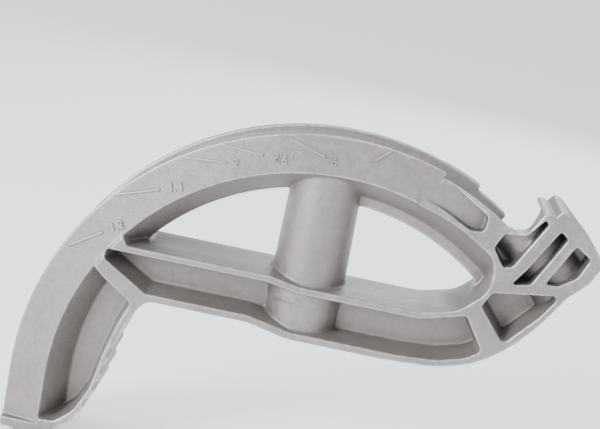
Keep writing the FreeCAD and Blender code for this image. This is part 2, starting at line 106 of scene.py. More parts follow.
@dataclass(frozen=True)
class Unevenness:
    """One size of unevenness in the cast skin.

    Attributes:
        scale: features per metre.
        detail: how many finer layers lie over it.
        rough: how strong the finer layers are.
    """

    scale: float
    detail: float
    rough: float


@dataclass(frozen=True)
class Ramp:
    """A smooth change of one value with another.

    Attributes:
        low: input where the change starts.
        high: input where it ends.
        first: output below low.
        last: output above high.
    """

    low: float
    high: float
    first: float = 0.0
    last: float = 1.0


CLOUDS = Unevenness(scale=26.0, detail=3.0, rough=0.55)
MOTTLE = Unevenness(scale=260.0, detail=4.0, rough=0.6)
GRAIN = Unevenness(scale=1500.0, detail=2.0, rough=0.65)
PITS_PER_METRE = 900.0

# Which shares of clouds and mottle make the skin's tone.
CLOUD_SHARE, MOTTLE_SHARE = 0.45, 0.55

# How far the painted shade reaches out of a corner, in metres, and how finely the corner is felt
# for.
CORNER_REACH = 0.012
CORNER_SAMPLES = 6

# The mould's parting seam: how far it wanders off the middle, in metres, and how pale it is.
SEAM_WANDER = 0.0006
SEAM_STRENGTH = 0.3

# How much smoother a rubbed edge is than the skin beside it.
RUBBED_SMOOTHER = 0.12

# Heights of mottle, pits and seam, against a grain of 1, and how strongly all of it shades.
MOTTLE_HEIGHT, PIT_HEIGHT, SEAM_HEIGHT = 1.2, 0.35, 1.5
BUMP_STRENGTH = 0.55


class ShaderTree:
    """A material's nodes, wired one after another in the object's own coordinates."""

    def __init__(self, made: bpy.types.Material) -> None:
        """Takes over a new material.

        Args:
            made: the material, which gets its nodes.
        """
        made.use_nodes = True
        self.nodes = made.node_tree.nodes
        self.links = made.node_tree.links
        self.shader = self.nodes["Principled BSDF"]
        self.place = self.nodes.new("ShaderNodeTexCoord").outputs["Object"]

    def feed(self, socket: bpy.types.NodeSocket, value: Value) -> None:
        """Gives an input a number, a colour or another node's output.

        Args:
            socket: the input.
            value: what it takes.
        """
        if isinstance(value, bpy.types.NodeSocket):
            self.links.new(value, socket)
        else:
            socket.default_value = (*value, 1.0) if isinstance(value, tuple) else value

    def settle(self, name: str, value: Value) -> None:
        """Gives one of the shader's own inputs its value."""
        self.feed(self.shader.inputs[name], value)

    def noise(self, kind: Unevenness) -> bpy.types.NodeSocket:
        """A cloudy noise over the object.

        Args:
            kind: how coarse and how rough it is.

        Returns:
            Its value, around one half.
        """
        node = self.nodes.new("ShaderNodeTexNoise")
        self.feed(node.inputs["Scale"], kind.scale)
        self.feed(node.inputs["Detail"], kind.detail)
        self.feed(node.inputs["Roughness"], kind.rough)
        self.feed(node.inputs["Vector"], self.place)
        return node.outputs["Fac"]

    def cells(self, scale: float) -> bpy.types.NodeSocket:
        """The distance from the middles of scattered cells.

        Args:
            scale: cells per metre.

        Returns:
            The distance, as a share of a cell.
        """
        node = self.nodes.new("ShaderNodeTexVoronoi")
        self.feed(node.inputs["Scale"], scale)
        self.feed(node.inputs["Vector"], self.place)
        return node.outputs["Distance"]

    def openness(self, reach: float, samples: int) -> bpy.types.NodeSocket:
        """How free a face lies, from 0 in a corner to 1 in the open.

        Args:
            reach: how far around it other faces count, in metres.
            samples: how many of them are looked for.

        Returns:
            The openness.
        """
        node = self.nodes.new("ShaderNodeAmbientOcclusion")
        node.samples = samples
        self.feed(node.inputs["Distance"], reach)
        return node.outputs["AO"]

    def measure(self, name: str) -> bpy.types.NodeSocket:
        """The value that the mesh's points carry under a name."""
        node = self.nodes.new("ShaderNodeAttribute")
        node.attribute_name = name
        return node.outputs["Fac"]

    def off_middle(self) -> bpy.types.NodeSocket:
        """The distance from the mould's parting plane, y = 0, in metres."""
        node = self.nodes.new("ShaderNodeSeparateXYZ")
        self.feed(node.inputs[0], self.place)
        return self.combine("ABSOLUTE", node.outputs["Y"], 0.0)

    def spread(self, source: bpy.types.NodeSocket, ramp: Ramp) -> bpy.types.NodeSocket:
        """Spreads a value smoothly over a ramp.

        Args:
            source: the value.
            ramp: where the change starts and ends, and from what to what.

        Returns:
            The value spread over the ramp's outputs.
        """
        node = self.nodes.new("ShaderNodeMapRange")
        node.interpolation_type = "SMOOTHSTEP"
        self.feed(node.inputs["From Min"], ramp.low)
        self.feed(node.inputs["From Max"], ramp.high)
        self.feed(node.inputs["To Min"], ramp.first)
        self.feed(node.inputs["To Max"], ramp.last)
        self.feed(node.inputs["Value"], source)
        return node.outputs["Result"]

    def blend(self, share: Value, first: Value, second: Value) -> bpy.types.NodeSocket:
        """Mixes two colours.

        Args:
            share: how much of the second there is, 0 to 1.
            first: one colour.
            second: the other.

        Returns:
            The mixed colour.
        """
        node = self.nodes.new("ShaderNodeMix")
        node.data_type = "RGBA"
        factor, colours = node.inputs[0], (node.inputs[6], node.inputs[7])
        self.feed(factor, share)
        self.feed(colours[0], first)
        self.feed(colours[1], second)
        return node.outputs[2]

    def combine(self, kind: str, first: Value, second: Value) -> bpy.types.NodeSocket:
        """Adds, multiplies or otherwise reckons with two values.

        Args:
            kind: the operation, by Blender's name for it.
            first: one value.
            second: the other.

        Returns:
            The result.
        """
        node = self.nodes.new("ShaderNodeMath")
        node.operation = kind
        self.feed(node.inputs[0], first)
        self.feed(node.inputs[1], second)
        return node.outputs[0]

    def raised(self, height: Value, depth: float, strength: float) -> bpy.types.NodeSocket:
        """Turns a height into shading.

        Args:
            height: the height, as a share of the depth.
            depth: what a height of 1 measures, in metres.
            strength: how strongly it shades, 0 to 1.

        Returns:
            The shaded normal.
        """
        node = self.nodes.new("ShaderNodeBump")
        self.feed(node.inputs["Strength"], strength)
        self.feed(node.inputs["Distance"], depth)
        self.feed(node.inputs["Height"], height)
        return node.outputs["Normal"]


@dataclass(frozen=True)
class AluminiumFinish:
    """One finish of the aluminium, from the mould or from use.

    Attributes:
        surface: which kind of face it is.
        bright: colour of a clean or rubbed face.
        dull: colour of the oxidised skin.
        edge: colour of a rubbed edge, far paler than the skin: partly wear and partly a painted
            highlight along edges and rims; the seam is paled towards it too.
        dust_and_shade: colour of dust in the grain, and of the painted shade in corners and
            creases.
        metallic: share of the metal's own reflection.
        roughness: middle roughness of the skin.
        grain_height: depth of the sand grain in metres.
        edge_wear_and_highlight: how far the edges are rubbed bright and given a painted
            highlight, 0 to 1.
    """

    surface: Surface
    bright: Colour
    dull: Colour
    edge: Colour
    dust_and_shade: Colour
    metallic: float
    roughness: float
    grain_height: float
    edge_wear_and_highlight: float

    def material(self) -> bpy.types.Material:
        """Builds the finish as a node material.

        Returns:
            The material, with its grain, mottling, edge wear with a painted edge highlight, and
            painted shade in its corners.
        """
        made = bpy.data.materials.new("aluminium_" + self.surface.value)
        tree = ShaderTree(made)
        clouds, mottle, grain = (tree.noise(kind) for kind in (CLOUDS, MOTTLE, GRAIN))
        wear_and_highlight = self.wear_and_highlight(tree, mottle)
        seam = self.seam(tree, clouds)

        skin = self.skin_colour(tree, clouds, mottle, grain)
        # Painted highlight: edges blend towards the pale edge colour, part wear and part painted
        # highlight, over a skin with painted shade in its corners.
        worn_and_highlit = tree.blend(wear_and_highlight, self.corner_shaded_colour(tree, skin), self.edge)
        seam_share = tree.combine("MULTIPLY", seam, SEAM_STRENGTH)
        tree.settle("Base Color", tree.blend(seam_share, worn_and_highlit, self.edge))
        tree.settle("Metallic", self.metallic)

        rough = tree.spread(mottle, Ramp(0.3, 0.7, self.roughness - 0.05, self.roughness + 0.07))
        smoother = tree.combine("MULTIPLY", wear_and_highlight, RUBBED_SMOOTHER)
        tree.settle("Roughness", tree.combine("SUBTRACT", rough, smoother))

        height = self.height(tree, grain, mottle, seam)
        tree.settle("Normal", tree.raised(height, self.grain_height, BUMP_STRENGTH))
        return made

    def skin_colour(
        self,
        tree: ShaderTree,
        clouds: bpy.types.NodeSocket,
        mottle: bpy.types.NodeSocket,
        grain: bpy.types.NodeSocket,
    ) -> bpy.types.NodeSocket:
        """The mottled grey of the skin, with dust in its grain.

        Args:
            tree: the material's nodes.
            clouds: the widest unevenness.
            mottle: the middle one.
            grain: the finest one.

        Returns:
            The colour.
        """
        wide = tree.combine("MULTIPLY", clouds, CLOUD_SHARE)
        tone = tree.combine("ADD", wide, tree.combine("MULTIPLY", mottle, MOTTLE_SHARE))
        skin = tree.blend(tree.spread(tone, Ramp(0.36, 0.64)), self.dull, self.bright)
        dust = tree.spread(grain, Ramp(0.35, 0.65, first=0.16, last=0.0))
        return tree.blend(dust, skin, self.dust_and_shade)

    def corner_shaded_colour(
        self, tree: ShaderTree, skin: bpy.types.NodeSocket
    ) -> bpy.types.NodeSocket:
        """Paints shade into the skin's corners and creases, where ambient occlusion and the
        relief find it closed in.

        Args:
            tree: the material's nodes.
            skin: the skin's colour.

        Returns:
            The colour with its painted shade.
        """
        # Painted shade: ambient occlusion and hollow relief darken the skin in corners, creases
        # and pockets.
        free = tree.openness(CORNER_REACH, CORNER_SAMPLES)
        corner_shade = tree.spread(free, Ramp(0.15, 0.9, first=0.55, last=0.0))
        crease_shade = tree.spread(tree.measure(RELIEF), Ramp(0.18, 0.46, first=0.35, last=0.0))
        return tree.blend(crease_shade, tree.blend(corner_shade, skin, self.dust_and_shade), self.dust_and_shade)

    def wear_and_highlight(self, tree: ShaderTree, mottle: bpy.types.NodeSocket) -> bpy.types.NodeSocket:
        """How far a face is rubbed bright and given a painted highlight, in patches along the
        edges.

        Args:
            tree: the material's nodes.
            mottle: the unevenness that breaks the wear up.

        Returns:
            The wear and painted highlight, 0 to 1.
        """
        # Painted highlight: convex relief pales the edges, part real wear and part a painted
        # highlight.
        edge_rub_and_highlight = tree.spread(tree.measure(RELIEF), Ramp(0.56, 0.86, last=self.edge_wear_and_highlight))
        patches = tree.spread(mottle, Ramp(0.35, 0.6, first=0.6))
        return tree.combine("MULTIPLY", edge_rub_and_highlight, patches)

    def seam(self, tree: ShaderTree, clouds: bpy.types.NodeSocket) -> bpy.types.NodeSocket:
        """The line where the halves of the mould met.

        Args:
            tree: the material's nodes.
            clouds: the unevenness that makes it wander.

        Returns:
            1 on the seam and 0 beside it.
        """
        drift = tree.combine("SUBTRACT", clouds, 0.5)
        wander = tree.combine("MULTIPLY", drift, SEAM_WANDER)
        beside = tree.combine("ADD", tree.off_middle(), wander)
        return tree.spread(beside, Ramp(0.0001, 0.0006, first=1.0, last=0.0))

    def height(
        self,
        tree: ShaderTree,
        grain: bpy.types.NodeSocket,
        mottle: bpy.types.NodeSocket,
        seam: bpy.types.NodeSocket,
    ) -> bpy.types.NodeSocket:
        """The height of the skin's sand grain, mottling, pits and seam.

        Args:
            tree: the material's nodes.
            grain: the finest unevenness.
            mottle: the middle one.
            seam: the seam's line.

        Returns:
            The height, with the grain as 1.
        """
        pits = tree.spread(tree.cells(PITS_PER_METRE), Ramp(0.05, 0.3))
        total = grain
        layers = ((mottle, MOTTLE_HEIGHT), (pits, PIT_HEIGHT), (seam, SEAM_HEIGHT))
        for layer, amount in layers:
            total = tree.combine("ADD", total, tree.combine("MULTIPLY", layer, amount))
        return total


SAND_CAST = AluminiumFinish(
    surface=Surface.SAND_CAST,
    bright=(0.290, 0.274, 0.266),
    dull=(0.235, 0.221, 0.215),
    edge=(0.62, 0.598, 0.575),
    dust_and_shade=(0.060, 0.056, 0.053),
    metallic=0.55,
    roughness=0.43,
    grain_height=0.0003,
    edge_wear_and_highlight=0.9,
)
RUBBED = AluminiumFinish(
    surface=Surface.RUBBED,
    bright=(0.345, 0.328, 0.318),
    dull=(0.255, 0.242, 0.236),
    edge=(0.66, 0.638, 0.615),
    dust_and_shade=(0.065, 0.060, 0.057),
    metallic=0.6,
    roughness=0.42,
    grain_height=0.00025,
    edge_wear_and_highlight=0.95,
)
THREAD_CUT = AluminiumFinish(
    surface=Surface.THREAD_CUT,
    bright=(0.60, 0.59, 0.58),
    dull=(0.46, 0.45, 0.44),
    edge=(0.78, 0.77, 0.76),
    dust_and_shade=(0.08, 0.075, 0.07),
    metallic=0.85,
    roughness=0.33,
    grain_height=0.00006,
    edge_wear_and_highlight=0.6,
)


class Finishes:
    """The object's finishes, each made once."""

    def __init__(self) -> None:
        """Makes every finish's material."""
        self.made = {f.surface: f.material() for f in (SAND_CAST, RUBBED, THREAD_CUT)}

    def dress(self, piece: bpy.types.Object, surface: Surface) -> None:
        """Gives a piece the finish of a kind of surface.

        Args:
            piece: the mesh object to dress.
            surface: which finish it takes.
        """
        # Marks without a measured relief get MARK_RELIEF, which gives them a little painted
        # highlight.
        if RELIEF not in piece.data.attributes:
            level = piece.data.attributes.new(RELIEF, "FLOAT", "POINT")
            level.data.foreach_set("value", [MARK_RELIEF] * len(piece.data.vertices))
        piece.data.materials.clear()
        piece.data.materials.append(self.made[surface])


def keep(piece: bpy.types.Object, *nodes: str) -> bpy.types.Object:
    """Fixes a piece to the casting's one body and hides the nodes it stands for.

    Args:
        piece: the finished piece, in place.
        nodes: names of the frame's nodes that it replaces.

    Returns:
        The same piece.
    """
    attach(piece, "root")
    if nodes:
        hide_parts(*nodes)
    LOG.info("piece %s: %d faces", piece.name, len(piece.data.polygons))
    return piece


def placed(name: str, data: bpy.types.ID) -> bpy.types.Object:
    """Adds an object with this mesh, text, light or camera to the scene, at the origin."""
    added = bpy.data.objects.new(name, data)
    bpy.context.scene.collection.objects.link(added)
    return added


def new_piece(name: str, shape: bmesh.types.BMesh) -> bpy.types.Object:
    """Turns a finished bmesh into an object at the origin, and frees the bmesh.

    Args:
        name: the piece's name.
        shape: its mesh, in place.

    Returns:
        The new object, shaded smooth.
    """
    mesh = bpy.data.meshes.new(name)
    shape.to_mesh(mesh)
    shape.free()
    mesh.shade_smooth()
    return placed(name, mesh)


def finished(name: str, carrier: bpy.types.Object) -> bpy.types.Object:
    """Applies a carrier's modifiers and removes it.

    Args:
        name: name of the object that is left.
        carrier: the object with the modifiers, or a text.

    Returns:
        A plain mesh object at the origin.
    """
    bpy.context.view_layer.update()
    graph = bpy.context.evaluated_depsgraph_get()
    mesh = bpy.data.meshes.new_from_object(
        carrier.evaluated_get(graph), preserve_all_data_layers=True, depsgraph=graph
    )
    bpy.data.objects.remove(carrier)
    mesh.name = name
    return placed(name, mesh)


def lay_on(skin: BVHTree, shape: bmesh.types.BMesh) -> None:
    """Moves a flat shape onto the casting's near face, its y as height over the face.

    Args:
        skin: the search tree of the casting's skin.
        shape: a mesh over x and z, with its height as negative y.
    """
    inward = Vector((0.0, 1.0, 0.0))
    for vertex in shape.verts:
        met = skin.ray_cast(Vector((vertex.co.x, -IN_FRONT, vertex.co.z)), inward)[0]
        if met is not None:
            vertex.co.y += met.y


def polar(radius: float, angle: float) -> Corner:
    """A plan corner at a radius and an angle from the crown, round the arc's middle, in mm."""
    turn = math.radians(angle)
    across, up = ARC_MIDDLE
    return across + radius * math.sin(turn), up + radius * math.cos(turn)


@dataclass(frozen=True)
class SectionPlan:
    """The plan lines that part the casting in named sections, as x and z in mm.

    Neighbours share their corners, so that the sections leave no gap.

    Attributes:
        outside: a radius well past the arc's rim.
        inside: a radius just within the arc's inner flange, beside the window.
        partings: angles of the shoe's partings from the crown.
        socket_side: half the width of the socket's two sections.
        socket_split: height where the socket parts in boss and mouth.
        socket_top: height over the socket's top.
        brace_foot: a height under the brace arms.
    """

    outside: float = 190.0
    inside: float = 108.0
    partings: tuple[float, ...] = (-62.0, -38.0, -14.0, 10.0, 22.0)
    socket_side: float = 24.0
    socket_split: float = 36.0
    socket_top: float = 82.0
    brace_foot: float = -8.0

    toe_in: Corner = (-124.5, -50.0)
    shoe_in: Corner = (-121.5, -22.0)
    join_low: Corner = polar(141.0, -62.0)
    join_mid: Corner = (-109.4, 24.6)
    join_top: Corner = (-109.4, 27.8)
    join_edge: Corner = (-95.0, 35.5)
    window_left: Corner = (-88.0, 38.0)
    void_left: Corner = polar(110.0, -38.0)
    pedal_top: Corner = (-95.8, 1.6)
    pedal_out: Corner = (-84.0, -8.0)
    rib_foot: Corner = (-84.0, 10.4)
    tread_in: tuple[Corner, ...] = (
        (-100.8, -13.0),
        (-106.0, -32.0),
        (-110.0, -52.5),
        (-116.2, -66.0),
        (-124.5, -73.4),
    )
    fin_left: Corner = polar(136.0, -14.0)
    void_right: Corner = (80.0, 52.0)
    throat_top: Corner = (99.0, 97.0)
    web_right: tuple[Corner, ...] = (
        (63.7, 24.6),
        (88.4, 31.2),
        (98.9, 16.4),
        (93.0, 12.2),
        (77.6, 7.7),
        (55.9, 6.2),
    )
    rib_out: Corner = (108.0, 4.0)
    window_foot: Corner = (84.0, 45.0)
    gusset: tuple[Corner, ...] = (
        (98.2, 41.4),
        (101.4, 47.6),
        (132.0, 52.4),
        (126.2, 42.8),
        (111.0, 25.6),
    )
    gusset_out: Corner = (122.0, 12.0)
    nose_foot: Corner = (152.0, 46.0)
    shelf: tuple[Corner, ...] = ((103.0, 57.0), (107.4, 57.2), (122.4, 58.0))
    shelf_end: Corner = (168.0, 60.0)

    def shoe(self) -> dict[str, list[Corner]]:
        """The sections of the grooved shoe, from the toe to the hook."""
        left, upper, crown, edge, right = (polar(self.outside, a) for a in self.partings)
        edge_in, right_in = (polar(self.inside, a) for a in self.partings[-2:])
        side, top = self.socket_side, self.socket_top
        toe = (-180.0, -50.0)
        window = [self.join_low, self.join_mid, self.join_top, self.join_edge, self.window_left]
        return {
            "toe_shoe": [toe, self.toe_in, (-124.5, -110.0), (-180.0, -110.0)],
            "shoe_lower_left": [toe, self.toe_in, self.shoe_in, self.join_low, left],
            "shoe_left": [left, *window, self.void_left, upper],
            "shoe_upper_left": [
                upper, self.void_left, (-side, 50.0), (-side, top), self.fin_left, crown,
            ],
            "shoe_crown": [crown, self.fin_left, (side, top), (side, 60.0), edge_in, edge],
            "shoe_right": [edge, edge_in, right_in, right],
            "shoe_hook_end": [right, right_in, self.void_right, self.throat_top, (103.0, 140.0)],
        }

    def pedal(self) -> dict[str, list[Corner]]:
        """The sections of the foot pedal and the rib over it."""
        tread = self.tread_in
        return {
            "pedal_web": [
                tread[4], self.toe_in, self.shoe_in, self.join_low, self.pedal_top, *tread[:4],
            ],
            "pedal_tread": [
                (-124.5, -110.0), *tread[::-1], self.pedal_top, self.pedal_out,
                (-60.0, -60.0), (-80.0, -110.0),
            ],
            "divider_rib": [
                self.join_low, self.pedal_top, self.pedal_out, self.rib_foot, self.join_mid,
            ],
        }

    def brace(self) -> dict[str, list[Corner]]:
        """The sections of the two brace arms and the handle socket."""
        web, side, foot = self.web_right, self.socket_side, self.brace_foot
        split, top = self.socket_split, self.socket_top
        return {
            "brace_web_left": [
                self.join_top, (-side, 27.8), (-side, 10.4), self.rib_foot, self.join_mid,
            ],
            "brace_lower_flange_left": [
                self.pedal_out, (-side, foot), (-side, 10.4), self.rib_foot,
            ],
            "brace_upper_flange_left": [
                self.join_top, (-side, 27.8), (-side, 42.0), (-80.0, 42.0),
                self.window_left, self.join_edge,
            ],
            "socket_boss": [(-side, foot), (side, foot), (side, split), (-side, split)],
            "handle_socket": [(-side, split), (side, split), (side, top), (-side, top)],
            "brace_web_right": [(side, 24.6), *web, (side, 6.2)],
            "brace_lower_flange_right": [
                (side, foot), (98.0, foot), self.rib_out, *web[2:], (side, 6.2),
            ],
            "brace_upper_flange_right": [
                (side, 24.6), web[0], web[1], self.window_foot, (60.0, 45.0), (side, 45.0),
            ],
        }

    def hook(self) -> dict[str, list[Corner]]:
        """The sections of the heel, the gusset and the hook."""
        web, pocket, shelf = self.web_right, self.gusset, self.shelf
        return {
            "heel_rib": [
                self.rib_out, web[2], web[1], self.window_foot, pocket[0], pocket[4],
                self.gusset_out,
            ],
            "gusset_web": [*pocket],
            "gusset_rim": [
                self.gusset_out, pocket[4], pocket[3], pocket[2], self.nose_foot, (160.0, 20.0),
            ],
            "hook_shelf": [
                self.window_foot, pocket[0], pocket[1], pocket[2], self.nose_foot,
                self.shelf_end, *shelf[::-1], self.void_right,
            ],
            "hook_jaw": [
                self.void_right, shelf[0], shelf[1], (123.4, 92.0), (124.6, 112.0),
                (103.0, 112.0), self.throat_top,
            ],
            "hook_rib": [
                shelf[1], shelf[2], (135.8, 85.4), (146.0, 106.0), (124.6, 112.0),
                (123.4, 92.0),
            ],
            "hook_nose": [
                shelf[2], self.shelf_end, (170.0, 90.0), (146.0, 106.0), (135.8, 85.4),
            ],
        }

    def sections(self) -> dict[str, list[Corner]]:
        """Every section's plan corners by its name."""
        return {**self.shoe(), **self.pedal(), **self.brace(), **self.hook()}


@dataclass
class CastHead:
    """The one-piece casting, with the soft edges that a sand mould leaves.

    Attributes:
        nodes: the frame's nodes by name.
        voxel: size of the cells that round the casting's edges, in metres.
        softening: rounds of smoothing over the edges.
        rubbed: nodes that conduit and shoes rub bright.
        half_depth: half the depth of the blocks that part the sections.
        smoothing: how far one round of smoothing moves a point to its neighbours.
        relief_reach: rounds of levelling that an edge is measured against.
        relief_height: height over the levelled skin that takes the relief from 0 to 1.
    """

    nodes: dict[str, bpy.types.Object]
    voxel: float = 0.0007
    softening: int = 5
    rubbed: tuple[str, ...] = ("pedal_tread", "hook_nose", "hook_jaw")
    half_depth: float = 0.04
    smoothing: float = 0.5
    relief_reach: int = 14
    relief_height: float = 0.0009

    def build(self, finishes: Finishes) -> BVHTree:
        """Builds every section of the casting and dresses it.

        Args:
            finishes: the finishes to dress with.

        Returns:
            The search tree of the whole skin, for marks that lie on it.
        """
        skin = self.soften(self.gather())
        for name, corners in SectionPlan().sections().items():
            section = self.section(skin, name, corners)
            finishes.dress(section, Surface.RUBBED if name in self.rubbed else Surface.SAND_CAST)
            keep(section, name)
        tree = self.tree_of(skin.data)
        bpy.data.objects.remove(skin)
        return tree

    def gather(self) -> bmesh.types.BMesh:
        """Joins merged copies of the frame's nodes in one mesh."""
        joined = bmesh.new()
        for name in sorted(self.nodes):
            part = bmesh.new()
            part.from_mesh(self.nodes[name].data)
            bmesh.ops.remove_doubles(part, verts=part.verts, dist=SAME_POINT)
            copy = bpy.data.meshes.new("copy")
            part.to_mesh(copy)
            part.free()
            joined.from_mesh(copy)
            bpy.data.meshes.remove(copy)
        return joined

    def soften(self, joined: bmesh.types.BMesh) -> bpy.types.Object:
        """Makes one closed skin of the joined nodes, with rounded edges.

        Args:
            joined: the joined nodes, which this frees.

        Returns:
            The skin as an object.
        """
        raw = new_piece("raw_casting", joined)
        remesh = raw.modifiers.new("mould", "REMESH")
        remesh.mode = "VOXEL"
        remesh.voxel_size = self.voxel
        remesh.use_smooth_shade = True
        smooth = raw.modifiers.new("soft_edges", "SMOOTH")
        smooth.factor = self.smoothing
        smooth.iterations = self.softening
        skin = finished("casting_skin", raw)
        self.mark_relief(skin)
        LOG.info("skin: %d faces", len(skin.data.polygons))
        return skin

    def mark_relief(self, skin: bpy.types.Object) -> None:
        """Stores how far each point of the skin stands out, for the wear and painted highlight
        on edges and the painted shade in creases.

        Args:
            skin: the whole skin, which gains the attribute.
        """
        carrier = placed("carrier", skin.data)
        level = carrier.modifiers.new("level", "SMOOTH")
        level.factor = self.smoothing
        level.iterations = self.relief_reach
        levelled = finished("levelled_skin", carrier)
        heights = []
        for point, low in zip(skin.data.vertices, levelled.data.vertices):
            proud = (point.co - low.co).dot(point.normal) / self.relief_height
            heights.append(min(1.0, max(LEAST_RELIEF, FLAT_RELIEF + proud)))
        relief = skin.data.attributes.new(RELIEF, "FLOAT", "POINT")
        relief.data.foreach_set("value", heights)
        bpy.data.objects.remove(levelled)

    def tree_of(self, mesh: bpy.types.Mesh) -> BVHTree:
        """The search tree of a mesh."""
        shape = bmesh.new()
        shape.from_mesh(mesh)
        tree = BVHTree.FromBMesh(shape)
        shape.free()
        return tree

    def section(
        self, skin: bpy.types.Object, name: str, corners: list[Corner]
    ) -> bpy.types.Object:
        """Parts one closed section from the skin.

        Args:
            skin: the whole skin, which stays as it is.
            name: the section's name.
            corners: its plan corners, as x and z in mm.

        Returns:
            The section, shaded as the whole skin is.
        """
        block = bmesh.new()
        near = -self.half_depth
        outline = [block.verts.new((MM * x, near, MM * z)) for x, z in corners]
        face = block.faces.new(outline)
        pulled = bmesh.ops.extrude_face_region(block, geom=[face])["geom"]
        moved = [v for v in pulled if isinstance(v, bmesh.types.BMVert)]
        bmesh.ops.translate(block, verts=moved, vec=(0.0, 2.0 * self.half_depth, 0.0))
        bmesh.ops.recalc_face_normals(block, faces=block.faces)
        cutter = new_piece("parting_block", block)
        cutter.data.shade_flat()
        carrier = placed("carrier", skin.data)
        parting = carrier.modifiers.new("parting", "BOOLEAN")
        parting.operation = "INTERSECT"
        parting.solver = "MANIFOLD"
        parting.object = cutter
        shading = carrier.modifiers.new("shading", "DATA_TRANSFER")
        shading.object = skin
        shading.use_loop_data = True
        shading.data_types_loops = {"CUSTOM_NORMAL"}
        shading.loop_mapping = "POLYINTERP_NEAREST"
        section = finished(name + "_casting", carrier)
        bpy.data.objects.remove(cutter)
        self.mend_relief(section)
        return section

    def mend_relief(self, section: bpy.types.Object) -> None:
        """Gives the points of a parting line the relief of their neighbours.

        Args:
            section: a section whose new points have no relief yet.
        """
        shape = bmesh.new()
        shape.from_mesh(section.data)
        relief = shape.verts.layers.float[RELIEF]
        for vertex in [v for v in shape.verts if v[relief] <= 0.0]:
            near = [e.other_vert(vertex)[relief] for e in vertex.link_edges]
            known = [value for value in near if value > 0.0]
            vertex[relief] = sum(known) / len(known) if known else FLAT_RELIEF
        shape.to_mesh(section.data)
        shape.free()


@dataclass(frozen=True)
class SightLine:
    """One sighting line of the bending scale, with the number at its end.

    Attributes:
        start: the line's end at the rim, as x and z in metres.
        end: its inner end, as x and z.
        number: the number cast beside it, or nothing.
        number_at: the middle of the number, as x and z.
        turn: how far the number is turned, in degrees.
    """

    start: Corner
    end: Corner
    number: str
    number_at: Corner
    turn: float


